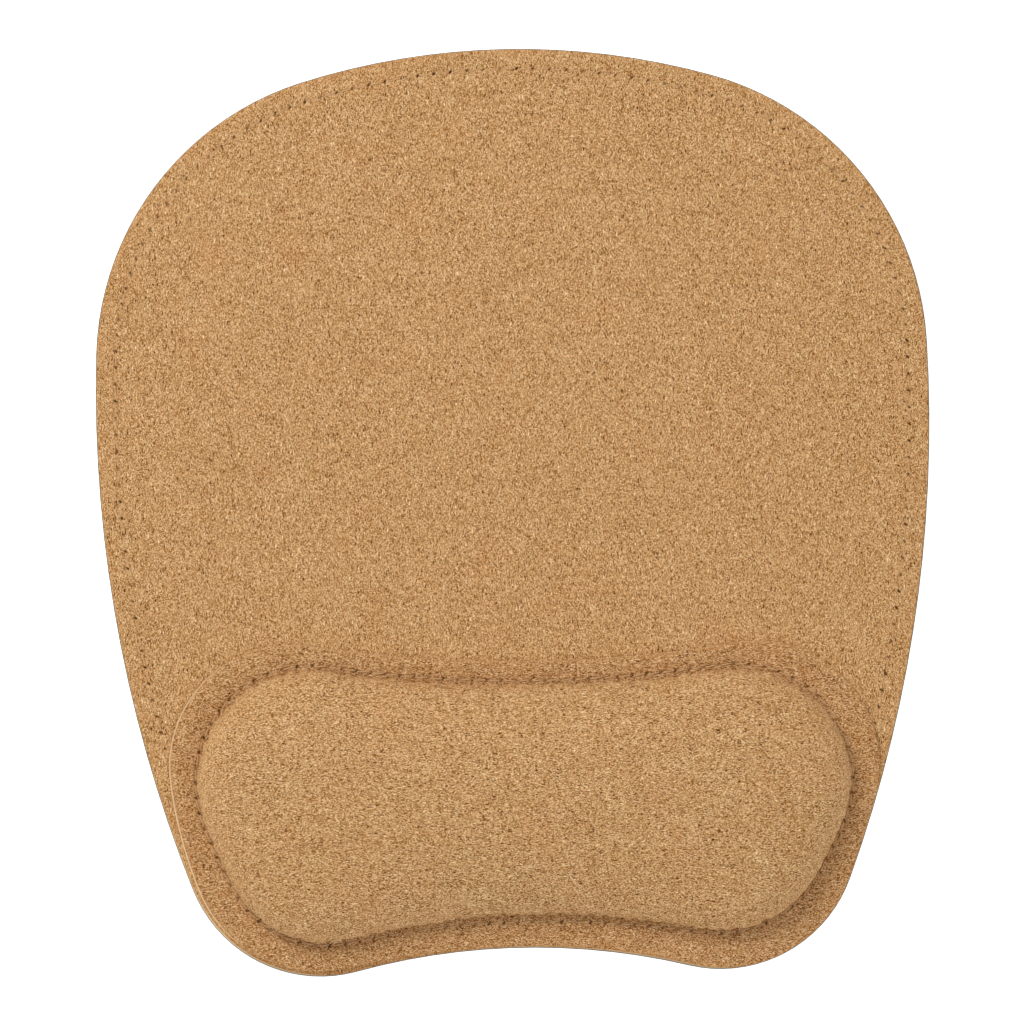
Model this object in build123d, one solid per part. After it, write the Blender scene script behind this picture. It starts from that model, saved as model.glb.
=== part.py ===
"""Cork mouse pad with a padded wrist rest, as sheets, foam and stitching. Millimetres, +Z up.

The origin is the middle of the underside. +Y points away from the user and +X to the right.
"""
import math
import os

from build123d import *

# Mat outline: a closed run of tangent arcs, the same left and right.
mat_width = 230.0
mat_length = 255.0
crown_radius = 200.0            # rear edge
shoulder_radius = 81.0          # rear corners
side_radius = 371.0             # long, slightly bowed sides
widest_from_front = 156.5       # where the sides are furthest apart
corner_radius = 38.0            # front lobes
scoop_radius = 186.0            # hollow in the front edge, between the lobes

# Mat layers, from the desk up.
base_thickness = 0.8
core_thickness = 1.3
cloth_thickness = 0.3
cork_thickness = 0.6
layer_step = 0.35               # the base stands out this far around the layers on it

# Wrist rest, in its own frame: its middle lies at the place below, a little askew on the mat.
rest_from_front = 47.5
rest_shift = 1.2
rest_turn = -0.57               # degrees, anticlockwise seen from above
flange_side_margin = 17.2       # mat's side to the flange's, at their widest
flange_rear = 43.6              # flange reach to the rear lobes' edge
flange_front = 46.4             # and to the front lobes' edge
flange_rear_radius = 33.6
flange_front_radius = 35.5
flange_front_set_in = 5.4       # how much further in the front lobes' sides are
flange_flank_radius = 119.0
flange_rear_scoop_radius = 370.0
flange_front_scoop_radius = 219.0
flange_trim = 0.15              # the flange is cut back this far from the top sheet's edge

# The seam line round the foot of the cushion.
seam_side_margin = 7.3          # flange's side to the seam
seam_rear_margin = 6.1
seam_front_margin = 8.4
seam_rear_radius = 31.8
seam_front_radius = 30.3
seam_front_set_in = 6.2
seam_flank_radius = 211.0
seam_rear_scoop_radius = 361.0
seam_front_scoop_radius = 270.0

# Wrist rest heights.
glue_thickness = 0.2
liner_thickness = 0.6
overall_height = 20.0
dome_round = 13.0               # rounding of the cushion's shoulder
dome_flat = 1.5                 # upright wall kept below the rounding

# Stitching. Both seams are lockstitch: a needle thread above and a bobbin thread below. Each is
# drawn as the closed line that it follows, in the groove that the tight stitches press.
stitch_inset = 5.6              # mat's edge to the stitch line
thread = 0.4
thread_gap = 0.05               # between a thread and its groove's walls
dome_gap = 0.3                  # seam groove to the foot of the cushion

base_top = base_thickness
core_top = base_top + core_thickness
mat_cloth_top = core_top + cloth_thickness
mat_top = mat_cloth_top + cork_thickness
glue_top = mat_top + glue_thickness
liner_top = glue_top + liner_thickness
flange_cloth_top = liner_top + cloth_thickness
flange_top = flange_cloth_top + cork_thickness
groove_size = thread + 2 * thread_gap
foot_inset = groove_size / 2 + dome_gap


def blend_centre(a, reach_a, b, reach_b, side):
    """The point at reach_a from a and reach_b from b, left of the line a to b for side 1."""
    line = b - a
    along = (reach_a**2 - reach_b**2 + line.length**2) / (2 * line.length)
    across = math.sqrt(reach_a**2 - along**2)
    unit = line.normalized()
    return a + unit * along + Vector(-unit.Y, unit.X) * across * side


def mirror_bends(bends):
    """The bends of the right half, rear to front, closed with the left half's."""
    rear, *right, front = bends
    left = [(Vector(-centre.X, centre.Y), radius) for centre, radius in reversed(right)]
    return [rear, *right, front, *left]


def mat_bends():
    """Arc centres and radii round the mat. A hollow bend has a negative radius."""
    crown = Vector(0, mat_length / 2 - crown_radius)
    side = Vector(mat_width / 2 - side_radius, widest_from_front - mat_length / 2)
    reach = side_radius - shoulder_radius
    shoulder = blend_centre(crown, crown_radius - shoulder_radius, side, reach, -1)
    corner_y = corner_radius - mat_length / 2
    corner_x = side.X + math.sqrt((side_radius - corner_radius) ** 2 - (corner_y - side.Y) ** 2)
    scoop_y = corner_y - math.sqrt((corner_radius + scoop_radius) ** 2 - corner_x**2)
    return mirror_bends([
        (crown, crown_radius),
        (shoulder, shoulder_radius),
        (side, side_radius),
        (Vector(corner_x, corner_y), corner_radius),
        (Vector(0, scoop_y), -scoop_radius),
    ])


def bone_bends(half_width, rear, front, lobes, set_in, flank, scoops):
    """A bone-shaped outline: two lobes a side, slack flanks, and a scoop at rear and front."""
    rear_lobe = Vector(half_width - lobes[0], rear - lobes[0])
    front_lobe = Vector(half_width - set_in - lobes[1], lobes[1] - front)
    side = blend_centre(rear_lobe, flank - lobes[0], front_lobe, flank - lobes[1], -1)
    rear_scoop = rear_lobe.Y + math.sqrt((scoops[0] + lobes[0]) ** 2 - rear_lobe.X**2)
    front_scoop = front_lobe.Y - math.sqrt((scoops[1] + lobes[1]) ** 2 - front_lobe.X**2)
    return mirror_bends([
        (Vector(0, rear_scoop), -scoops[0]),
        (rear_lobe, lobes[0]),
        (side, flank),
        (front_lobe, lobes[1]),
        (Vector(0, front_scoop), -scoops[1]),
    ])


def flange_bends():
    return bone_bends(
        mat_width / 2 - flange_side_margin,
        flange_rear,
        flange_front,
        (flange_rear_radius, flange_front_radius),
        flange_front_set_in,
        flange_flank_radius,
        (flange_rear_scoop_radius, flange_front_scoop_radius),
    )


def seam_bends():
    return bone_bends(
        mat_width / 2 - flange_side_margin - seam_side_margin,
        flange_rear - seam_rear_margin,
        flange_front - seam_front_margin,
        (seam_rear_radius, seam_front_radius),
        seam_front_set_in,
        seam_flank_radius,
        (seam_rear_scoop_radius, seam_front_scoop_radius),
    )


def outline(bends, inset=0.0):
    """The closed wire of tangent arcs, moved in by inset."""
    pairs = list(zip(bends, bends[1:] + bends[:1]))
    facing = [(a[0] - b[0]) / (b[1] - a[1]) for a, b in pairs]
    arcs = []
    for k, (centre, radius) in enumerate(bends):
        before, after = facing[k - 1], facing[k]
        middle = (before + after).normalized()
        points = [centre + way * (radius - inset) for way in (before, middle, after)]
        arcs.append(ThreePointArc(*points))
    return Wire(arcs)


def on_rest(shape):
    """Puts a shape drawn in the wrist rest's own frame in its place on the mat."""
    return Location((rest_shift, rest_from_front - mat_length / 2, 0), (0, 0, rest_turn)) * shape


def slab(face, bottom, top):
    """The face as a sheet from one height to another."""
    return extrude(Location((0, 0, bottom)) * face, amount=top - bottom, dir=(0, 0, 1))


def groove(bends, inset, bottom):
    """The closed strip that a thread lies in, from its floor up."""
    outer = slab(Face(outline(bends, inset - groove_size / 2)), bottom, bottom + groove_size)
    return outer - slab(Face(outline(bends, inset + groove_size / 2)), bottom, bottom + groove_size)


def thread_ring(bends, inset, bottom):
    """A thread along the outline, in the middle of the groove whose floor is at bottom."""
    line = Location((0, 0, bottom + groove_size / 2)) * outline(bends, inset)
    section = Plane(origin=line @ 0, z_dir=line % 0) * Circle(thread / 2)
    return sweep(section, path=line)


def dome(gap, bottom):
    """The cushion's body, moved in by gap from its outside, from a height up."""
    foot = Face(outline(seam_bends(), foot_inset + gap))
    body = slab(foot, bottom, overall_height - gap)
    rounding = min(dome_round, overall_height - flange_top - dome_flat) - gap
    return fillet(body.edges().group_by(Axis.Z)[-1], radius=rounding)


def flange_face():
    """The flange's outline on the mat, cut back where it would pass the top sheet's edge."""
    sheet_edge = Face(outline(mat_bends(), layer_step + flange_trim))
    return (on_rest(Face(outline(flange_bends()))) & sheet_edge).faces()[0]


# The mat: base, foam, cloth and cork, with a seam through the upper three.
mat_groove = mat_top - groove_size
layer_face = Face(outline(mat_bends(), layer_step))
base_sheet = slab(Face(outline(mat_bends())), 0, base_top)
mat_core = slab(layer_face, base_top, core_top) - groove(mat_bends(), stitch_inset, base_top)
mat_cloth = slab(layer_face, core_top, mat_cloth_top)
mat_cork = slab(layer_face, mat_cloth_top, mat_top) - groove(mat_bends(), stitch_inset, mat_groove)
mat_needle_thread = thread_ring(mat_bends(), stitch_inset, mat_groove)
mat_bobbin_thread = thread_ring(mat_bends(), stitch_inset, base_top)

# The wrist rest: foam on a liner, under a skin of cloth-backed cork that is sewn to the liner.
flange = flange_face()
seam_groove = flange_top - groove_size
foam_gap = cork_thickness + cloth_thickness
rest_glue = slab(flange, mat_top, glue_top)
rest_liner = slab(flange, glue_top, liner_top) - on_rest(groove(seam_bends(), 0, glue_top))
rest_foam = on_rest(dome(foam_gap, liner_top))
rest_cloth = slab(flange, liner_top, flange_cloth_top) + on_rest(dome(cork_thickness, liner_top))
rest_cloth -= rest_foam
rest_cork = slab(flange, flange_cloth_top, flange_top) + on_rest(dome(0, flange_cloth_top))
rest_cork -= on_rest(dome(cork_thickness, liner_top))
rest_cork -= on_rest(groove(seam_bends(), 0, seam_groove))
rest_needle_thread = on_rest(thread_ring(seam_bends(), 0, seam_groove))
rest_bobbin_thread = on_rest(thread_ring(seam_bends(), 0, glue_top))

pieces = {
    "base_sheet": base_sheet,
    "mat_core": mat_core,
    "mat_cloth": mat_cloth,
    "mat_cork": mat_cork,
    "mat_needle_thread": mat_needle_thread,
    "mat_bobbin_thread": mat_bobbin_thread,
    "rest_glue": rest_glue,
    "rest_liner": rest_liner,
    "rest_foam": rest_foam,
    "rest_cloth": rest_cloth,
    "rest_cork": rest_cork,
    "rest_needle_thread": rest_needle_thread,
    "rest_bobbin_thread": rest_bobbin_thread,
}

os.makedirs("parts", exist_ok=True)
for name, shape in pieces.items():
    export_step(shape, f"parts/{name}.step")
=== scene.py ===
import bpy
import bmesh
import math
import numpy as np
from mathutils import Matrix, Vector
from mathutils.kdtree import KDTree


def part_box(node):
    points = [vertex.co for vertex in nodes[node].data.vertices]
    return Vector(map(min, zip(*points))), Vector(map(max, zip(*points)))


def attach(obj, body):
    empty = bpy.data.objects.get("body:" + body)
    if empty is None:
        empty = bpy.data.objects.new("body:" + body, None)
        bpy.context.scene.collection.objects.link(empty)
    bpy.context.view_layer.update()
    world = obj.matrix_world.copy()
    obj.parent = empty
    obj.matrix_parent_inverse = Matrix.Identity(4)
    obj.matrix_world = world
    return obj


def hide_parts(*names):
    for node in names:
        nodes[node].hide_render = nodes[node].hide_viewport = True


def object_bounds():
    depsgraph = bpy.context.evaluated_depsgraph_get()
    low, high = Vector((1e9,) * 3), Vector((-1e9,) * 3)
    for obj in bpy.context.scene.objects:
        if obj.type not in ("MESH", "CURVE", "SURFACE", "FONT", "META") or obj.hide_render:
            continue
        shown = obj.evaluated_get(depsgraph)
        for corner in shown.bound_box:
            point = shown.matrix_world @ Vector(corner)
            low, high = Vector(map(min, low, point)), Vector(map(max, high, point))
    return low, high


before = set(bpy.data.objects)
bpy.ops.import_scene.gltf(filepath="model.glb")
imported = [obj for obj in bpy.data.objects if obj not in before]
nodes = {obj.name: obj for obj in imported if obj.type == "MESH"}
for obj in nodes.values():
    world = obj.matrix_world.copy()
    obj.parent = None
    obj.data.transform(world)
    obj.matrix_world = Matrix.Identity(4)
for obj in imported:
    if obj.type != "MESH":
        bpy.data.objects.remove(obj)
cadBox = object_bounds()
mm = 0.001
hair = 0.02 * mm            # nearer than this is touching
print("frame loaded:", len(nodes), "nodes")


# small helpers

def putDown():
    if bpy.context.object and bpy.context.object.mode != "OBJECT":
        bpy.ops.object.mode_set(mode="OBJECT")
    bpy.ops.object.select_all(action="DESELECT")


def takeUp(piece):
    putDown()
    piece.select_set(True)
    bpy.context.view_layer.objects.active = piece


def applyAll(piece):
    takeUp(piece)
    for modifier in list(piece.modifiers):
        bpy.ops.object.modifier_apply(modifier=modifier.name)


def inEdit(piece, *steps):
    takeUp(piece)
    bpy.ops.object.mode_set(mode="EDIT")
    for step in steps:
        step()
    bpy.ops.object.mode_set(mode="OBJECT")


def readPoints(piece):
    points = np.empty(len(piece.data.vertices) * 3)
    piece.data.vertices.foreach_get("co", points)
    return points.reshape(-1, 3)


def writePoints(piece, points):
    piece.data.vertices.foreach_set("co", np.asarray(points, float).ravel())
    piece.data.update()


def smoothStep(x):
    x = np.clip(x, 0, 1)
    return x * x * (3 - 2 * x)


def copyOf(piece, name):
    twin = piece.copy()
    twin.data = piece.data.copy()
    twin.name = twin.data.name = name
    bpy.context.collection.objects.link(twin)
    return twin


# lines that the pieces follow, read from the frame

def footLine(node, count, waves, fine=4096, passes=3):
    # the closed line round the bottom of a node, evenly spaced and rounded off
    points = readPoints(nodes[node])
    low = points[:, 2].min()
    ring = points[points[:, 2] < low + hair][:, :2]
    middle = (ring.min(0) + ring.max(0)) / 2
    angle = np.arctan2(*(ring - middle).T[::-1])
    angle, first = np.unique(np.round(angle, 5), return_index=True)
    ring = ring[first]
    closed = np.vstack([ring, ring[:1]])
    along = np.r_[0, np.cumsum(np.linalg.norm(np.diff(closed, axis=0), axis=1))]
    for _ in range(passes):
        even = np.linspace(0, along[-1], fine, endpoint=False)
        line = np.interp(even, along, closed[:, 0]) + 1j * np.interp(even, along, closed[:, 1])
        wave = np.fft.fft(line)
        wave[waves:-waves] = 0
        line = np.fft.ifft(wave)
        closed = np.column_stack([line.real, line.imag])
        closed = np.vstack([closed, closed[:1]])
        along = np.r_[0, np.cumsum(np.linalg.norm(np.diff(closed, axis=0), axis=1))]
    even = np.linspace(0, along[-1], count, endpoint=False)
    return np.column_stack([np.interp(even, along, closed[:, k]) for k in range(2)])


def outward(line):
    # the way out of an anticlockwise line, at each of its points
    way = np.roll(line, -1, 0) - np.roll(line, 1, 0)
    way /= np.linalg.norm(way, axis=1)[:, None]
    return np.column_stack([way[:, 1], -way[:, 0]])


def lineLength(line):
    return np.linalg.norm(np.roll(line, -1, 0) - line, axis=1).sum()


def atPhases(line, stitchCount, phases):
    # points at the same few places of every stitch, denser near the needle holes
    fine = len(line)
    spots = (np.arange(stitchCount)[:, None] + np.asarray(phases)).ravel() / stitchCount * fine % fine
    closed = np.vstack([line, line[:1]])
    return np.column_stack([np.interp(spots, np.arange(fine + 1), closed[:, k]) for k in range(2)])


def wrapGrid(name, rings, marks=None):
    # a grid wrapped round a closed line: one ring of points for each of its rows
    count = len(rings[0])
    putDown()
    bpy.ops.mesh.primitive_grid_add(x_subdivisions=count, y_subdivisions=len(rings) - 1, size=1)
    piece = bpy.context.object
    piece.name = piece.data.name = name
    writePoints(piece, np.vstack([np.vstack([ring, ring[:1]]) for ring in rings]))
    for mark, values in (marks or {}).items():
        layer = piece.data.attributes.new(mark, "FLOAT", "POINT")
        closed = np.concatenate([np.r_[row, row[:1]] for row in values])
        layer.data.foreach_set("value", closed.astype(np.float32))
    inEdit(
        piece,
        lambda: bpy.ops.mesh.select_all(action="SELECT"),
        lambda: bpy.ops.mesh.remove_doubles(threshold=hair / 20),
    )
    return piece


def closeEnds(piece):
    # a flat face over each open ring, then every face turned outwards
    def cover():
        bpy.ops.mesh.select_all(action="DESELECT")
        bpy.ops.mesh.select_mode(type="EDGE")
        bpy.ops.mesh.select_non_manifold()
        bpy.ops.mesh.edge_face_add()
    def turnOut():
        bpy.ops.mesh.select_all(action="SELECT")
        bpy.ops.mesh.normals_make_consistent(inside=False)
    inEdit(piece, cover, turnOut)


def ringAt(line, way, out, height):
    # the line moved out and lifted; both may vary along it
    flat = line + way * np.broadcast_to(out, len(line))[:, None]
    return np.column_stack([flat, np.broadcast_to(height, len(line))])


def topOf(node):
    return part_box(node)[1].z


def bottomOf(node):
    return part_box(node)[0].z


def sideGap(outer, inner):
    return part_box(outer)[1].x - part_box(inner)[1].x


threadSize = topOf("mat_needle_thread") - bottomOf("mat_needle_thread")
stitchInset = sideGap("base_sheet", "mat_needle_thread") + threadSize / 2
footToSeam = sideGap("rest_needle_thread", "rest_foam") - threadSize / 2
lineCount = 6000                # points on each line
edgeWaves, footWaves = 60, 44   # finer wiggles than these are smoothed away
matEdge = footLine("base_sheet", lineCount, edgeWaves)
matSeam = matEdge - outward(matEdge) * stitchInset
restFoot = footLine("rest_foam", lineCount, footWaves)
# sewn by hand: the left end of the rest comes out a little deeper than the right, most at the front
askew = {"front": 0.055, "rear": 0.008, "seamOut": 0.08}
restSeam = restFoot + outward(restFoot) * (footToSeam + askew["seamOut"] * mm)
for line in (restFoot, restSeam):
    middle, half = (line.max(0) + line.min(0)) / 2, np.ptp(line[:, 0]) / 2
    side = (line[:, 0] - middle[0]) / half
    rear = line[:, 1] > middle[1]
    reach = 1 - np.where(rear, askew["rear"], askew["front"]) * side
    line[:, 1] = middle[1] + (line[:, 1] - middle[1]) * reach
flangeEdge = footLine("rest_glue", lineCount, edgeWaves)


# node helpers

def newMaterial(name):
    material = bpy.data.materials.new(name)
    material.use_nodes = True
    tree = material.node_tree
    tree.nodes.clear()
    out = tree.nodes.new("ShaderNodeOutputMaterial")
    shader = tree.nodes.new("ShaderNodeBsdfPrincipled")
    tree.links.new(shader.outputs["BSDF"], out.inputs["Surface"])
    return material, tree, shader


def addNode(tree, kind, inputs=None, **settings):
    node = tree.nodes.new("ShaderNode" + kind)
    for key, value in settings.items():
        setattr(node, key, value)
    for key, value in (inputs or {}).items():
        if isinstance(value, bpy.types.NodeSocket):
            tree.links.new(value, node.inputs[key])
        else:
            node.inputs[key].default_value = value
    return node


def calc(tree, operation, a, b=0.0, c=0.0, clamp=False):
    node = addNode(tree, "Math", {0: a, 1: b, 2: c}, operation=operation)
    node.use_clamp = clamp
    return node.outputs[0]


def mapRange(tree, value, low, high, toLow=0.0, toHigh=1.0):
    inputs = {"Value": value, "From Min": low, "From Max": high, "To Min": toLow, "To Max": toHigh}
    return addNode(tree, "MapRange", inputs).outputs[0]


def linear(*shade):
    # the scene's colour for a given shade, 0 to 255
    return [((c / 255 + 0.055) / 1.055) ** 2.4 if c > 10 else c / 255 / 12.92 for c in shade] + [1]


def mixShade(tree, share, a, b):
    node = addNode(tree, "Mix", data_type="RGBA")
    for socket, value in ((node.inputs[0], share), (node.inputs[6], a), (node.inputs[7], b)):
        if isinstance(value, bpy.types.NodeSocket):
            tree.links.new(value, socket)
        else:
            socket.default_value = value
    return node.outputs[2]


def ramp(tree, value, stops):
    node = addNode(tree, "ValToRGB", {0: value})
    band = node.color_ramp
    while len(band.elements) < len(stops):
        band.elements.new(0.5)
    for element, (place, shade) in zip(band.elements, stops):
        element.position = place
        element.color = shade
    return node.outputs[0]


ribScale = 0.314            # a wave texture's scale for one rib to the metre


def noise(tree, place, size, detail):
    # soft noise with clumps of about this size in mm
    inputs = {"Vector": place, "Scale": 1 / (size * mm), "Detail": detail}
    return addNode(tree, "TexNoise", inputs).outputs["Fac"]


def ribs(tree, place, pitch, direction, distortion=0.0):
    # even ribs, one to each pitch in mm
    inputs = {"Vector": place, "Scale": ribScale / (pitch * mm), "Distortion": distortion}
    return addNode(tree, "TexWave", inputs, bands_direction=direction).outputs["Fac"]


def colourBy(tree, shader, parts, shade, darkest):
    # the base colour: the shade, and a darker one where the weighted parts are low
    (tint, weight), *others = parts
    for other, otherWeight in others:
        tint = calc(tree, "MULTIPLY_ADD", tint, weight, calc(tree, "MULTIPLY", other, otherWeight))
    dark = [c * darkest for c in shade[:3]] + [1]
    tree.links.new(mixShade(tree, tint, dark, shade), shader.inputs["Base Color"])


def raiseBy(tree, shader, height, strength, distance):
    bump = addNode(tree, "Bump", {"Height": height, "Strength": strength, "Distance": distance})
    tree.links.new(bump.outputs[0], shader.inputs["Normal"])


# materials

corkLook = {
    "granule": 0.34,        # mm across the grain
    "granuleWeight": 0.08,  # share of the pale to brown range
    "speck": 0.145,
    "speckWeight": 0.76,
    "cloud": 8,
    "cloudWeight": 0.06,
    "patch": 3.0,           # smooth and coarse patches take turns
    "patchRange": (0.9, 1.1),
    "blotch": 16,           # large, soft and ruddy
    "stretch": 1.9,         # along the grain
    "poreStretch": 1.8,     # pores and flecks are longer still
    "contrast": 1.0,
    "middle": 0.545,        # 0 all brown, 1 all pale
    "poreCell": 0.56,       # mm, one pore in some of the cells of this size
    "poreShare": 0.3,
    "poreSize": 0.26,       # of its cell
    "poreDepth": 1.15,
    "poreRelief": 0.6,
    "fleckCell": 0.9,
    "fleckShare": 0.3,
    "fleckSize": 0.2,
    "fleckWeight": 0.6,
    "albedo": 0.93,
    "ruddy": 0.0,
    "ruddyLean": 0.14,      # most that a blotch leans either way
    "strawLean": 0.08,
    "wear": 0.22,           # of the warm tint on a cut edge
    "holeShadowStrength": 0.92,      # strength of the painted shadow in a needle hole
    "roughness": (0.75, 0.95),
    "gloss": 0.06,
    "bump": 0.35,
    "bumpDepth": 0.08,      # mm
}

corkTones = {
    "brownToPale": (
        (0.0, linear(72, 20, 0)),
        (0.25, linear(138, 83, 10)),
        (0.5, linear(196, 146, 89)),
        (0.75, linear(235, 188, 136)),
        (1.0, linear(255, 226, 176)),
    ),
    "ruddyBlotch": linear(214, 138, 84),
    "straw": linear(190, 150, 84),
    "ruddy": linear(222, 132, 84),
    "wear": linear(212, 146, 84),
    # painted shadow: the dark brown put in each needle hole, where shade falls in the pit
    "hole": linear(76, 44, 18),
}


def granulatedCork(name, grain, **changes):
    # pressed cork granules: pale to brown, with dark pores, a few pale flecks, a warm edge and painted shadow
    # in the needle holes
    look = {**corkLook, **changes}
    material, tree, shader = newMaterial(name)
    place = addNode(tree, "TexCoord").outputs["Object"]

    def along(stretch):
        squeeze = [1.0, 1.0, 1.0]
        squeeze["XYZ".index(grain)] = 1 / stretch
        return addNode(tree, "Mapping", {"Vector": place, "Scale": squeeze}).outputs[0]

    grained, drawn = along(look["stretch"]), along(look["stretch"] * look["poreStretch"])

    def perCell(size, seed, source=grained):
        moved = addNode(tree, "Mapping", {"Vector": source, "Location": (seed, seed * 0.7, 0)}).outputs[0]
        return addNode(tree, "TexVoronoi", {"Vector": moved, "Scale": 1 / (size * mm)})

    def cloud(size, detail, seed, source=grained):
        moved = addNode(tree, "Mapping", {"Vector": source, "Location": (seed, 0, seed)}).outputs[0]
        inputs = {"Vector": moved, "Scale": 1 / (size * mm), "Detail": detail, "Roughness": 0.6}
        return addNode(tree, "TexNoise", inputs).outputs["Fac"]

    def tone(cells, channel=0):
        return addNode(tree, "SeparateColor", {0: cells.outputs["Color"]}).outputs[channel]

    def addTo(total, part, weight):
        part = calc(tree, "MULTIPLY", calc(tree, "SUBTRACT", part, 0.5), weight)
        return calc(tree, "MULTIPLY_ADD", part, patchy, total)

    def spotIn(cells, share, size):
        # a spot in some of the cells only, a good deal smaller than its cell
        here = calc(tree, "GREATER_THAN", tone(cells), 1 - share)
        return calc(tree, "MULTIPLY", here, mapRange(tree, cells.outputs["Distance"], size * 0.6, size, 1, 0))

    smooth, coarse = (share * look["contrast"] for share in look["patchRange"])
    patchy = mapRange(tree, cloud(look["patch"], 2, 0.7), 0.35, 0.65, smooth, coarse)
    specks = perCell(look["speck"], 0.3)
    granules = perCell(look["granule"], 0.0)
    pores = spotIn(perCell(look["poreCell"], 0.6, drawn), look["poreShare"], look["poreSize"])
    flecks = spotIn(perCell(look["fleckCell"], 0.9, drawn), look["fleckShare"], look["fleckSize"])
    tones = addTo(look["middle"], tone(granules), look["granuleWeight"])
    tones = addTo(tones, tone(specks), look["speckWeight"])
    tones = addTo(tones, cloud(look["cloud"], 2, 0.5, place), look["cloudWeight"])
    tones = calc(tree, "MULTIPLY_ADD", calc(tree, "MULTIPLY", pores, patchy), -look["poreDepth"], tones)
    tones = calc(tree, "MULTIPLY_ADD", flecks, look["fleckWeight"], tones)

    shade = ramp(tree, tones, corkTones["brownToPale"])
    # granules and large soft blotches lean ruddy or straw
    blotch = calc(tree, "MULTIPLY", cloud(look["blotch"], 2, 0.8, place), 0.8)
    lean = calc(tree, "MULTIPLY_ADD", tone(granules, 1), 0.24, blotch)
    ruddyShare = mapRange(tree, lean, 0.58, 0.76, 0, look["ruddyLean"])
    strawShare = mapRange(tree, lean, 0.5, 0.34, 0, look["strawLean"])
    shade = mixShade(tree, ruddyShare, shade, corkTones["ruddyBlotch"])
    shade = mixShade(tree, strawShare, shade, corkTones["straw"])
    shade = mixShade(tree, look["ruddy"], shade, corkTones["ruddy"])
    edge = addNode(tree, "Attribute", attribute_name="edgeWear").outputs["Fac"]
    shade = mixShade(tree, calc(tree, "MULTIPLY", edge, look["wear"]), shade, corkTones["wear"])
    # painted shadow in the needle holes, darkest at the bottom of each pit
    hole = addNode(tree, "Attribute", attribute_name="holeShadowMask").outputs["Fac"]
    holeShadowShare = calc(tree, "MULTIPLY", hole, look["holeShadowStrength"], clamp=True)
    shade = mixShade(tree, holeShadowShare, shade, corkTones["hole"])
    shade = mixShade(tree, 1 - look["albedo"], shade, (0, 0, 0, 1))
    tree.links.new(shade, shader.inputs["Base Color"])

    tree.links.new(mapRange(tree, tone(specks), 0, 1, *look["roughness"]), shader.inputs["Roughness"])
    shader.inputs["Specular IOR Level"].default_value = look["gloss"]
    relief = calc(tree, "MULTIPLY_ADD", pores, -look["poreRelief"], tones)
    raiseBy(tree, shader, relief, look["bump"], look["bumpDepth"] * mm)
    return material


clothLook = {
    "pitch": 0.45,          # mm from yarn to yarn
    "wander": 0.4,
    "slub": 1.2,            # mm, length of the uneven stretches
    "weaveShadeWeight": 0.35,
    "darkest": 0.72,
    "roughness": 0.9,
    "gloss": 0.2,
    "sheen": 0.15,
    "bump": 0.6,
    "bumpDepth": 0.1,
}


def wovenCloth(name, shade, look):
    # plain weave, over and under, with uneven yarns and painted shade in the gaps between them
    material, tree, shader = newMaterial(name)
    place = addNode(tree, "TexCoord").outputs["Object"]
    warp = ribs(tree, place, look["pitch"], "X", look["wander"])
    weft = ribs(tree, place, look["pitch"], "Y", look["wander"])
    weave = calc(tree, "MAXIMUM", warp, weft)
    uneven = noise(tree, place, look["slub"], 3.0)
    # painted shade: darker where the weave is low, in the gaps between the yarns; the slub share is the
    # yarns' own uneven tone
    parts = ((weave, look["weaveShadeWeight"]), (uneven, 1 - look["weaveShadeWeight"]))
    colourBy(tree, shader, parts, shade, look["darkest"])
    shader.inputs["Roughness"].default_value = look["roughness"]
    shader.inputs["Specular IOR Level"].default_value = look["gloss"]
    shader.inputs["Sheen Weight"].default_value = look["sheen"]
    raiseBy(tree, shader, weave, look["bump"], look["bumpDepth"] * mm)
    return material


foamLook = {
    "mottle": 4,            # mm
    "cellShadeWeight": 0.5,
    "darkest": 0.6,
    "roughness": 0.85,
    "bump": 0.5,
}


def cellFoam(name, shade, cell, look):
    # closed-cell foam, with the open bubbles of a cut face painted darker inside as shade
    material, tree, shader = newMaterial(name)
    place = addNode(tree, "TexCoord").outputs["Object"]
    cells = addNode(tree, "TexVoronoi", {"Vector": place, "Scale": 1 / cell})
    depth = mapRange(tree, cells.outputs["Distance"], 0.1, 0.7)
    uneven = noise(tree, place, look["mottle"], 4.0)
    # painted shade in the bubbles, darker where they are deep; the mottle share is the foam's own uneven tone
    parts = ((depth, look["cellShadeWeight"]), (uneven, 1 - look["cellShadeWeight"]))
    colourBy(tree, shader, parts, shade, look["darkest"])
    shader.inputs["Roughness"].default_value = look["roughness"]
    raiseBy(tree, shader, depth, look["bump"], cell / 3)
    return material


rubberLook = {
    "pitch": 1.6,           # mm, of the diamond grid
    "grit": 0.4,
    "gritWeight": 0.12,
    "dust": 22,
    "gridShadeWeight": 0.4,
    "darkest": 0.62,
    "roughness": (0.55, 0.8),
    "gloss": 0.35,
    "bump": 0.8,
    "bumpDepth": 0.25,
}


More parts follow.
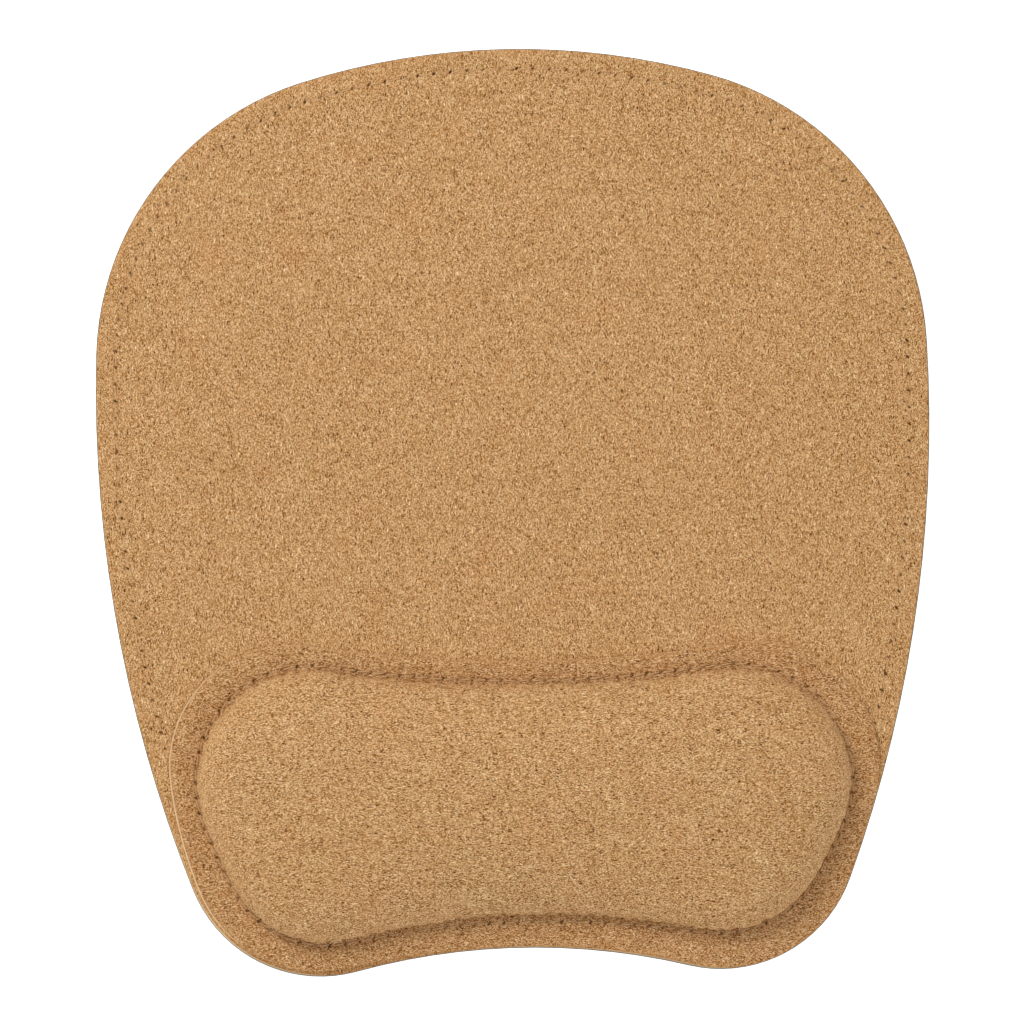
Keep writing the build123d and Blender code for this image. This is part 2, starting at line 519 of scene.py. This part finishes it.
def nonSlipRubber(name, shade, look):
    # rubber sheet pressed with a fine diamond grid, painted darker in its grooves as shade, dulled and dusty
    # in places
    material, tree, shader = newMaterial(name)
    place = addNode(tree, "TexCoord").outputs["Object"]
    turned = addNode(tree, "Mapping", {"Vector": place, "Rotation": (0, 0, math.radians(45))}).outputs[0]
    one, two = (ribs(tree, turned, look["pitch"], direction) for direction in "XY")
    grid = calc(tree, "MULTIPLY", one, two)
    grit = noise(tree, place, look["grit"], 3.0)
    dust = noise(tree, place, look["dust"], 5.0)
    # painted shade in the grid's grooves; the dust share is the rubber's own uneven tone
    parts = ((grid, look["gridShadeWeight"]), (dust, 1 - look["gridShadeWeight"]))
    colourBy(tree, shader, parts, shade, look["darkest"])
    tree.links.new(mapRange(tree, dust, 0.3, 0.7, *look["roughness"]), shader.inputs["Roughness"])
    shader.inputs["Specular IOR Level"].default_value = look["gloss"]
    relief = calc(tree, "MULTIPLY_ADD", grit, look["gritWeight"], grid)
    raiseBy(tree, shader, relief, look["bump"], look["bumpDepth"] * mm)
    return material


yarnLook = {
    "fuzz": 0.16,           # mm
    "dye": 6,               # mm, length of the lighter and darker stretches
    "fuzzWeight": 0.6,
    "darkest": 0.7,
    "roughness": 0.75,
    "sheen": 0.08,
    "bump": 0.6,
    "bumpDepth": 0.05,
}


def spunThread(name, shade, look):
    # two-ply sewing thread, fuzzy and slightly uneven in its dye
    material, tree, shader = newMaterial(name)
    place = addNode(tree, "TexCoord").outputs["Object"]
    fuzz = noise(tree, place, look["fuzz"], 4.0)
    dye = noise(tree, place, look["dye"], 2.0)
    parts = ((fuzz, look["fuzzWeight"]), (dye, 1 - look["fuzzWeight"]))
    colourBy(tree, shader, parts, shade, look["darkest"])
    shader.inputs["Roughness"].default_value = look["roughness"]
    shader.inputs["Sheen Weight"].default_value = look["sheen"]
    raiseBy(tree, shader, fuzz, look["bump"], look["bumpDepth"] * mm)
    return material


glueLook = {
    "skim": 2.5,            # mm
    "darkest": 0.7,
    "roughness": (0.35, 0.6),
}


def driedGlue(name, shade, look):
    material, tree, shader = newMaterial(name)
    place = addNode(tree, "TexCoord").outputs["Object"]
    skim = noise(tree, place, look["skim"], 4.0)
    colourBy(tree, shader, ((skim, 1),), shade, look["darkest"])
    tree.links.new(mapRange(tree, skim, 0.3, 0.7, *look["roughness"]), shader.inputs["Roughness"])
    return material


paperLook = {
    "shade": (0.93, 0.93, 0.93, 1),
    "tooth": 1 / 0.9,       # mm
    "darkest": 0.985,
    "roughness": 0.95,
    "glow": 0.75,           # lit from below, so that it stays even round the object
}


def paleFloor(name, look):
    material, tree, shader = newMaterial(name)
    place = addNode(tree, "TexCoord").outputs["Object"]
    colourBy(tree, shader, ((noise(tree, place, look["tooth"], 2.0), 1),), look["shade"], look["darkest"])
    shader.inputs["Roughness"].default_value = look["roughness"]
    shader.inputs["Specular IOR Level"].default_value = 0.0
    shader.inputs["Emission Color"].default_value = (1, 1, 1, 1)
    shader.inputs["Emission Strength"].default_value = look["glow"]
    return material


def finish(piece, material, body="root"):
    piece.data.materials.clear()
    piece.data.materials.append(material)
    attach(piece, body)


matCorkFinish = granulatedCork("corkGrainFrontToBack", "Y")
restCorkFinish = granulatedCork("corkGrainSideToSide", "X", contrast=1.1)
# the flange's cork is darker, ruddier and more contrasty all round than the mat's
flangeCorkFinish = granulatedCork("darkerFlangeCork", "X", middle=0.505, contrast=1.2, albedo=0.9, ruddy=0.05)
clothFinish = wovenCloth("unbleachedCloth", linear(244, 216, 172), clothLook)
coreFinish = cellFoam("greyCutFoam", linear(156, 148, 130), 0.35 * mm, foamLook)
padFinish = cellFoam("slowFoam", linear(236, 226, 196), 0.5 * mm, foamLook)
rubberFinish = nonSlipRubber("greyNonSlipRubber", linear(150, 147, 136), rubberLook)
threadFinish = spunThread("tanThread", linear(226, 178, 122), yarnLook)
restThreadFinish = spunThread("paleThread", linear(230, 184, 128), yarnLook)
glueFinish = driedGlue("driedGlue", linear(214, 196, 150), glueLook)
print("materials mixed")


# sewn sheets

sharpFrom = math.radians(40)    # a sheet's edges are sharp from here on
# where points lie along each stitch, in stitches, and across it, in mm
phasesAlong = (-0.42, -0.28, -0.17, -0.11, -0.07, -0.035, 0.0, 0.035, 0.07, 0.11, 0.17, 0.28, 0.42)
sewnRows = (1.7, 1.25, 0.9, 0.62, 0.42, 0.24, 0.1, 0.0, -0.1, -0.24, -0.42, -0.62, -0.9, -1.25, -1.7)

needleMark = {
    "slant": 0.5,           # the needle goes in a little across the line
    "narrow": 1.1,
    "floor": 0.35,          # of the hole's radius, flat at the bottom
    "wall": 0.9,
    "threadReach": 0.34,    # mm either side of the thread
    "atHole": 0.35,         # the trough is shallower at the holes
    "swellPlace": 1.1,      # mm from the line
    "swellReach": 0.6,
}


def stitchRelief(phase, out, pitch, look, strength):
    # height of a sewn surface: a pit at each hole, a trough between them, a slight swell beside
    mark = needleMark
    away = np.abs(phase) * pitch
    slanted = out + mark["slant"] * phase * pitch
    reach = np.hypot(away, slanted * mark["narrow"]) / look["hole"]
    pit = strength * (1 - smoothStep((reach - mark["floor"]) / mark["wall"]))
    between = smoothStep(away / (0.3 * pitch))
    pressed = np.exp(-(out / mark["threadReach"]) ** 2)
    trough = look["trough"] * pressed * (mark["atHole"] + (1 - mark["atHole"]) * between)
    beside = np.exp(-((abs(out) - mark["swellPlace"]) / mark["swellReach"]) ** 2)
    swell = look["swell"] * beside * (1 - 0.5 * between)
    return swell - np.maximum(pit * look["holeDepth"], trough), pit


class SewnRings:
    # rings of points either side of a stitch line, with the wear marked on them and the needle holes marked
    # for their painted shadow

    def __init__(self, seam, look):
        self.look = look
        self.count = round(lineLength(seam) / (look["stitch"] * mm))
        self.pitch = lineLength(seam) / self.count / mm
        self.line = atPhases(seam, self.count, phasesAlong)
        self.way = outward(self.line)
        self.phase = np.tile(phasesAlong, self.count)
        uneven = np.random.default_rng(look["seed"]).uniform(*look["uneven"], self.count)
        self.strength = np.repeat(uneven, len(phasesAlong))
        self.rings, self.wear, self.holes = [], [], []

    def add(self, out, height, worn=0.0, hole=0.0):
        self.rings.append(ringAt(self.line, self.way, np.asarray(out) * mm, height))
        self.wear.append(np.full(len(self.line), worn))
        self.holes.append(np.broadcast_to(hole, len(self.line)))

    def addEdge(self, edge, top, bottom, rounding):
        # the cut edge, from the bottom up and rounded over, warmer where hands wear it
        self.add(edge, bottom, 1)
        self.add(edge, top - rounding * mm, 1)
        self.add(edge - 0.3 * rounding, top - 0.3 * rounding * mm, 1)
        self.add(edge - rounding, top, 0.8)

    def addSewn(self, top):
        for out in sewnRows:
            relief, hole = stitchRelief(self.phase, out, self.pitch, self.look, self.strength)
            self.add(out, top + relief * mm, 0.0, hole)

    def sheet(self, name):
        return wrapGrid(name, self.rings, {"edgeWear": self.wear, "holeShadowMask": self.holes})


# mat top sheet, pulled down by its stitches

matSheet = {
    "stitch": 4.5,          # mm from needle hole to needle hole
    "hole": 0.5,            # radius that the needle leaves
    "holeDepth": 0.45,
    "trough": 0.09,         # depth pressed by the tight thread between two holes
    "swell": 0.05,          # rise of the cork just beside the stitches
    "uneven": (0.6, 1.15),  # how much the holes differ
    "seed": 11,
    "edgeRound": 0.16,
    "wornEdge": 0.8,
    "calmOutside": 3.0,     # mm from the stitches, flat again
    "calmInside": 4.0,
    "cutShort": 0.4,        # at the front left corner, where the layers behind it show
    "shortSide": (-0.57, -0.82),
    "shortFrom": 0.7,       # 1 is right at the corner
}


def makeMatCork(look):
    top, bottom = topOf("mat_cork"), bottomOf("mat_cork")
    sewn = SewnRings(matSeam, look)
    atCorner = smoothStep((sewn.way @ look["shortSide"] - look["shortFrom"]) / 0.25)
    edge = (stitchInset - sideGap("base_sheet", "mat_cork")) / mm - look["cutShort"] * atCorner
    sewn.addEdge(edge, top, bottom, look["edgeRound"])
    sewn.add(edge - look["wornEdge"], top, 0.35)
    sewn.add(look["calmOutside"], top)
    sewn.addSewn(top)
    sewn.add(-look["calmInside"], top)
    sheet = sewn.sheet("matCork")
    closeEnds(sheet)
    takeUp(sheet)
    bpy.ops.object.shade_smooth_by_angle(angle=sharpFrom)
    return sheet, sewn


matCork, matSewing = makeMatCork(matSheet)
finish(matCork, matCorkFinish)
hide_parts("mat_cork")
print("mat sheet sewn:", matSewing.count, "stitches")


# wrist rest cushion: crowned form, swelled by cloth simulation

cushion = {
    "height": 13.3,         # above the flange, before it swells
    "rearSlope": 27.0,      # how far the crown runs in from each side
    "endSlope": 22.0,
    "frontSlope": 29.0,
    "roundness": 3.4,       # 2 is an ellipse in section, more is squarer
    "frontEase": 0.9,       # less of it at the middle of the front, which leans back
    "rearEase": 1.2,        # and at the rear, where the shoulder is long
    "crown": 2.0,           # extra height along the middle
    "frontDrop": 1.6,       # the front is lower than the rear
    "bulge": 1.2,           # how far the wall stands out from the foam's foot
    "wallRise": 1.4,        # height at which it stands out fully
    "rows": 24,
    "voxel": 2.4,
    "clothSteps": 6,
    "clothMass": 0.06,
    "stiffness": 12,
    "shear": 5,
    "bend": 1,
    "pressure": 4.0,
    "frames": 20,
    "cap": 1.8,             # the most that a point may move
    "heldUpTo": 1.2,        # the foot that the cloth is sewn down by
    "pleat": 1.5,           # depth of the gathers at the needle holes
    "pleatFill": 0.22,      # how much of it bulges out between them
    "pleatRise": 3.4,       # how far up they run
    "pleatReach": 6,        # and how far from the seam
}
footPoints = 600            # round the foot of the cushion


def crownedForm(name, look):
    base, foot = topOf("rest_liner") + hair, bottomOf("rest_cork")
    every = lineCount // footPoints
    line, way = restFoot[::every], outward(restFoot)[::every]
    sideways = np.where(way[:, 1] > 0, look["rearSlope"], look["frontSlope"]) - look["endSlope"]
    slope = look["endSlope"] + sideways * np.abs(way[:, 1])
    spread, pad = 41, 30
    wrapped = np.r_[slope[-pad:], slope, slope[:pad]]
    slope = np.convolve(wrapped, np.ones(spread) / spread, "same")[pad:-pad]
    frontHalf = 55 * mm
    atFront = smoothStep(-2 * way[:, 1] - 1) * np.clip(1.2 - np.abs(line[:, 0]) / frontHalf, 0, 1)
    squareness = look["roundness"] - look["rearEase"] * smoothStep(way[:, 1]) - look["frontEase"] * atFront
    bulge = look["bulge"] * (1 - atFront)
    rings = [ringAt(line, way, -0.4 * mm, base)]
    for step in np.linspace(0.05, 1, look["rows"]):
        angle = step * math.pi / 2
        inwards = 1 - math.cos(angle) ** (2 / squareness)
        rise = math.sin(angle) ** (2 / squareness)
        swollen = 0.55 + 0.45 * smoothStep(rise * look["height"] / look["wallRise"])
        out = bulge * swollen - slope * inwards
        rings.append(ringAt(line, way, out * mm, foot + rise * look["height"] * mm))
    form = wrapGrid(name, rings)
    closeEnds(form)
    middle, half = (line.max(0) + line.min(0)) / 2, np.ptp(line, axis=0) / 2
    cut = form.modifiers.new("evenSkin", "REMESH")
    cut.mode = "VOXEL"
    cut.voxel_size = look["voxel"] * mm
    applyAll(form)
    points = readPoints(form)
    away = (points[:, :2] - middle) / half
    high = smoothStep((points[:, 2] - foot) / (look["height"] * mm))
    crown = look["crown"] * np.clip(1 - away[:, 0] ** 2, 0, 1) * np.clip(1 - away[:, 1] ** 2, 0, 1)
    drop = look["frontDrop"] * (1 - away[:, 1]) / 2
    points[:, 2] += (crown - drop) * high * mm
    writePoints(form, points)
    return form


def swell(form, look):
    # cloth under pressure, its foot held on the liner
    before = readPoints(form)
    foot = before[:, 2].min() + look["heldUpTo"] * mm
    held = form.vertex_groups.new(name="held")
    held.add([int(k) for k in np.nonzero(before[:, 2] < foot)[0]], 1.0, "REPLACE")
    cloth = form.modifiers.new("cloth", "CLOTH")
    cloth.settings.quality = look["clothSteps"]
    cloth.settings.mass = look["clothMass"]
    cloth.settings.tension_stiffness = look["stiffness"]
    cloth.settings.compression_stiffness = look["stiffness"]
    cloth.settings.shear_stiffness = look["shear"]
    cloth.settings.bending_stiffness = look["bend"]
    cloth.settings.use_pressure = True
    cloth.settings.uniform_pressure_force = look["pressure"]
    cloth.settings.effector_weights.gravity = 0
    cloth.settings.vertex_group_mass = "held"
    cloth.point_cache.frame_start = 1
    cloth.point_cache.frame_end = look["frames"]
    for k in range(1, look["frames"] + 1):
        bpy.context.scene.frame_set(k)
    applyAll(form)
    bpy.context.scene.frame_set(1)
    moved = readPoints(form) - before
    far = np.linalg.norm(moved, axis=1)
    print("cushion swelled by", round(far.max() / mm, 2), "mm at most")
    short = np.minimum(1, look["cap"] * mm / np.maximum(far, 1e-9))
    writePoints(form, before + moved * short[:, None])


def gather(form, sewing, look):
    # the wall drawn in at each needle hole and bulging between them
    points = readPoints(form)
    start = sewnTop
    tree = KDTree(len(sewing.line))
    for k, (x, y) in enumerate(sewing.line):
        tree.insert((x, y, 0), k)
    tree.balance()
    low = np.nonzero(points[:, 2] < start + 3 * look["pleatRise"] * mm)[0]
    for k in low:
        x, y, z = points[k]
        _, nearest, away = tree.find((x, y, 0))
        if away > look["pleatReach"] * mm:
            continue
        wave = (0.5 + 0.5 * math.cos(2 * math.pi * sewing.phase[nearest])) ** 2
        fade = math.exp(-abs(z - start) / mm / look["pleatRise"])
        shift = look["pleat"] * fade * (look["pleatFill"] - wave * sewing.strength[nearest])
        points[k, :2] += sewing.way[nearest] * shift * mm
    writePoints(form, points)


def makeCushion(look, sewing):
    form = crownedForm("restCushion", look)
    swell(form, look)
    smooth = form.modifiers.new("relax", "SMOOTH")
    smooth.factor = 0.5
    smooth.iterations = 2
    applyAll(form)
    inner = copyOf(form, "restFoam")
    divide = form.modifiers.new("finer", "SUBSURF")
    divide.levels = divide.render_levels = 2
    applyAll(form)
    gather(form, sewing, look)
    takeUp(form)
    bpy.ops.object.shade_smooth()
    return form, inner


restSheet = {
    "stitch": 4.1,
    "hole": 0.55,
    "holeDepth": 0.5,
    "trough": 0.2,
    "swell": 0.05,
    "uneven": (0.3, 1.05),
    "seed": 17,
    "edgeRound": 0.15,
    "wornEdge": 0.7,
    "setBack": 0.04,        # the cork's cut edge is this far behind the cloth's
    "bareCloth": 0.34,      # and this much further on the left
    "puff": 0.18,           # the flange stands up a little between seam and edge
    "tucked": 5.5,          # it carries on this far under the cushion
}
sheetThickness = 0.6 * mm
sewnTop = bottomOf("rest_cork") + sheetThickness


def reachTo(sewing, edge, farthest=16 * mm):
    # distance from each point of a stitch line, straight out, to an outer line
    reach = np.empty(len(sewing.line))
    for k, (point, way) in enumerate(zip(sewing.line, sewing.way)):
        to = edge - point
        ahead = to @ way
        aside = np.abs(to[:, 0] * way[1] - to[:, 1] * way[0])
        aside[(ahead < 0) | (ahead > farthest)] = 1
        reach[k] = ahead[aside.argmin()]
    return reach / mm


def makeFlange(look):
    top, bottom = sewnTop, bottomOf("rest_cork")
    sewn = SewnRings(restSeam, look)
    leftSide = smoothStep((-0.5 - sewn.way[:, 0]) / 0.4)
    edge = reachTo(sewn, flangeEdge) - look["setBack"] - look["bareCloth"] * leftSide
    sewn.addEdge(edge, top, bottom, look["edgeRound"])
    sewn.add(edge - look["wornEdge"], top + 0.2 * look["puff"] * mm, 0.3)
    sewnOut = sewnRows[0]
    for share in (0.75, 0.5, 0.25):
        height = look["puff"] * math.sin(math.pi * share)
        sewn.add(sewnOut + (edge - sewnOut) * share, top + height * mm)
    sewn.addSewn(top)
    sewn.add(-look["tucked"], top)
    sewn.add(-look["tucked"], bottom)
    sheet = sewn.sheet("restFlange")

    def joinUnder():
        bpy.ops.mesh.select_all(action="DESELECT")
        bpy.ops.mesh.select_mode(type="EDGE")
        bpy.ops.mesh.select_non_manifold()
        bpy.ops.mesh.bridge_edge_loops()
        bpy.ops.mesh.select_all(action="SELECT")
        bpy.ops.mesh.normals_make_consistent(inside=False)

    inEdit(sheet, joinUnder)
    takeUp(sheet)
    bpy.ops.object.shade_smooth_by_angle(angle=sharpFrom)
    return sheet, sewn


restFlange, restSewing = makeFlange(restSheet)
finish(restFlange, flangeCorkFinish)
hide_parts("rest_cork")
print("flange sewn:", restSewing.count, "stitches")

restCushion, restFoam = makeCushion(cushion, restSewing)
finish(restCushion, restCorkFinish)
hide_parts("rest_cork")
print("cushion made:", len(restCushion.data.polygons), "faces")


def shrinkBy(piece, depth):
    inEdit(
        piece,
        lambda: bpy.ops.mesh.select_all(action="SELECT"),
        lambda: bpy.ops.transform.shrink_fatten(value=-depth),
    )


lining = {
    "thickness": 0.3,
    "underCork": 0.6,       # mm inside the cushion's skin
    "brimTuck": 2,          # the flat part carries on this far inside the seam
}


def makeLining(look):
    # the cloth behind the cork: flat under the flange, and up over the foam
    over = copyOf(restFoam, "restLining")
    shrinkBy(over, look["underCork"] * mm)

    def openBottom():
        bpy.ops.mesh.select_all(action="DESELECT")
        bpy.ops.mesh.select_mode(type="FACE")
        mesh = bmesh.from_edit_mesh(over.data)
        for face in mesh.faces:
            face.select = bool(face.normal.z < -0.7 and face.calc_center_median().z < sewnTop)
        bmesh.update_edit_mesh(over.data)
        bpy.ops.mesh.delete(type="FACE")

    inEdit(over, openBottom)
    wall = over.modifiers.new("cloth", "SOLIDIFY")
    wall.thickness = look["thickness"] * mm
    applyAll(over)
    bottom, top = topOf("rest_liner"), topOf("rest_liner") + look["thickness"] * mm
    line, way = restSewing.line, restSewing.way
    edge = reachTo(restSewing, flangeEdge)
    rings = [
        ringAt(line, way, edge * mm, bottom),
        ringAt(line, way, edge * mm, top),
        ringAt(line, way, -look["brimTuck"] * mm, top),
        ringAt(line, way, -look["brimTuck"] * mm, bottom),
        ringAt(line, way, edge * mm, bottom),
    ]
    brim = wrapGrid("restBrim", rings)
    inEdit(
        brim,
        lambda: bpy.ops.mesh.select_all(action="SELECT"),
        lambda: bpy.ops.mesh.normals_make_consistent(inside=False),
    )
    takeUp(over)
    brim.select_set(True)
    bpy.ops.object.join()
    return over


restLining = makeLining(lining)
finish(restLining, clothFinish)
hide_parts("rest_cloth")
foamInset = 0.95 * mm       # the foam ends just under the lining
shrinkBy(restFoam, foamInset)
finish(restFoam, padFinish)
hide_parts("rest_foam")
print("lining and foam made")


# stitches

threadLook = {
    "slant": 5.0,           # degrees that a stitch lies across its line
    "wobble": 1.6,
    "dip": 0.42,            # how far its ends go down their holes, mm
    "twists": 1.5,
    "gap": 0.25,            # mm between one stitch and the next
    "wide": 1.15,           # pulled tight, it lies flatter than round
    "flat": 0.85,
    "taper": 0.25,
    "unevenHeight": 0.02,
    "sides": 6,
    "cuts": 5,
}
sunk = {"mat": 0.03, "rest": 0.04}  # mm that each seam lies into its cork


def modelStitch(name, length, look):
    # one stitch along X: two plies twisted, its ends down in the holes
    putDown()
    bpy.ops.mesh.primitive_cylinder_add(
        vertices=look["sides"],
        radius=threadSize / 2,
        depth=length,
        rotation=(0, math.pi / 2, 0),
        end_fill_type="NGON",
    )
    stitch = bpy.context.object
    stitch.name = stitch.data.name = name
    bpy.ops.object.transform_apply(rotation=True)

    def divideAlong():
        bpy.ops.mesh.select_all(action="DESELECT")
        bpy.ops.mesh.select_mode(type="EDGE")
        mesh = bmesh.from_edit_mesh(stitch.data)
        for edge in mesh.edges:
            edge.select = bool(abs(edge.verts[0].co.x - edge.verts[1].co.x) > 0.9 * length)
        bmesh.update_edit_mesh(stitch.data)
        bpy.ops.mesh.subdivide_edgering(number_cuts=look["cuts"])

    inEdit(stitch, divideAlong)
    points = readPoints(stitch)
    along = points[:, 0] / (length / 2)
    turn = along * math.pi * look["twists"] / 2
    y, z = points[:, 1] * look["wide"], points[:, 2] * look["flat"]
    thin = 1 - look["taper"] * along**4
    down = look["dip"] * mm * np.abs(along) ** 5
    points[:, 1] = (y * np.cos(turn) - z * np.sin(turn)) * thin
    points[:, 2] = (y * np.sin(turn) + z * np.cos(turn)) * thin - down
    writePoints(stitch, points)
    takeUp(stitch)
    bpy.ops.object.shade_smooth()
    return stitch


def laySeam(name, sewing, height, look, seed):
    holes = sewing.line[sewing.phase == 0]
    model = modelStitch(name + "Model", (sewing.pitch - look["gap"]) * mm, look)
    rng = np.random.default_rng(seed)
    laid = []
    for here, there in zip(holes, np.roll(holes, -1, 0)):
        twin = copyOf(model, name)
        middle = (here + there) / 2
        turn = math.atan2(*(there - here)[::-1]) + math.radians(look["slant"] + rng.normal(0, look["wobble"]))
        lift = height + rng.normal(0, look["unevenHeight"]) * mm
        twin.data.transform(Matrix.Translation((*middle, lift)) @ Matrix.Rotation(turn, 4, "Z"))
        laid.append(twin)
    bpy.data.objects.remove(model)
    putDown()
    for twin in laid:
        twin.select_set(True)
    bpy.context.view_layer.objects.active = laid[0]
    bpy.ops.object.join()
    seam = bpy.context.object
    seam.name = seam.data.name = name
    return seam


matStitchHeight = topOf("mat_cork") - sunk["mat"] * mm
matStitches = laySeam("matNeedleStitches", matSewing, matStitchHeight, threadLook, seed=3)
finish(matStitches, threadFinish)
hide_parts("mat_needle_thread")
restStitchHeight = sewnTop - sunk["rest"] * mm
restStitches = laySeam("restNeedleStitches", restSewing, restStitchHeight, threadLook, seed=5)
finish(restStitches, restThreadFinish)
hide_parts("rest_needle_thread")
print("stitches laid")


# finishes of the carried-over pieces

carried = {
    "base_sheet": rubberFinish,
    "mat_core": coreFinish,
    "mat_cloth": clothFinish,
    "mat_bobbin_thread": threadFinish,
    "rest_glue": glueFinish,
    "rest_liner": clothFinish,
    "rest_bobbin_thread": threadFinish,
}
for name, material in carried.items():
    slots = nodes[name].data.materials
    slots.clear()
    slots.append(material)


# floor, light and camera

room = {
    "floorSize": 6.0,
    "skyLight": 0.455,
    "keyPlace": (-0.75, 0.95, 1.15),
    "keySize": 0.9,
    "keyPower": 16.0,
    "fillPlace": (0.5, -0.9, 1.25),
    "fillSize": 1.2,
    "fillPower": 5.5,
    "cameraHeight": 1.8,
    "sensor": 36,
    "nearest": 0.05,
    "farthest": 60,
    "viewAcross": 0.28268,  # metres that the view takes in, on the mat
    "roll": -1.083,         # degrees
    "aim": (-0.0007, -0.0003),
}


def layFloor(look):
    putDown()
    bpy.ops.mesh.primitive_plane_add(size=look["floorSize"], location=(0, 0, cadBox[0][2] - hair))
    floor = bpy.context.object
    floor.name = "floor"
    bpy.ops.object.transform_apply(location=True)
    floor.data.materials.append(paleFloor("paleFloor", paperLook))


def hangLight(name, place, size, power):
    putDown()
    bpy.ops.object.light_add(type="AREA", location=place)
    light = bpy.context.object
    light.name = name
    light.data.shape = "DISK"
    light.data.size = size
    light.data.energy = power
    light.rotation_euler = (-Vector(place)).to_track_quat("-Z", "Y").to_euler()
    light.visible_camera = False


def setCamera(look):
    putDown()
    x, y = look["aim"]
    place = (x, y, look["cameraHeight"])
    bpy.ops.object.camera_add(location=place, rotation=(0, 0, math.radians(look["roll"])))
    camera = bpy.context.object
    camera.name = "camera"
    camera.data.sensor_width = look["sensor"]
    camera.data.lens = look["sensor"] * look["cameraHeight"] / look["viewAcross"]
    camera.data.clip_start = look["nearest"]
    camera.data.clip_end = look["farthest"]
    bpy.context.scene.camera = camera


def lightSky(strength):
    world = bpy.data.worlds.new("whiteRoom")
    world.use_nodes = True
    sky = world.node_tree.nodes["Background"]
    sky.inputs["Color"].default_value = (1, 1, 1, 1)
    sky.inputs["Strength"].default_value = strength
    bpy.context.scene.world = world


layFloor(room)
for light in ("key", "fill"):
    hangLight(light + "Light", room[light + "Place"], room[light + "Size"], room[light + "Power"])
lightSky(room["skyLight"])
setCamera(room)
bpy.context.scene.view_settings.view_transform = "Standard"
print("lit and framed")
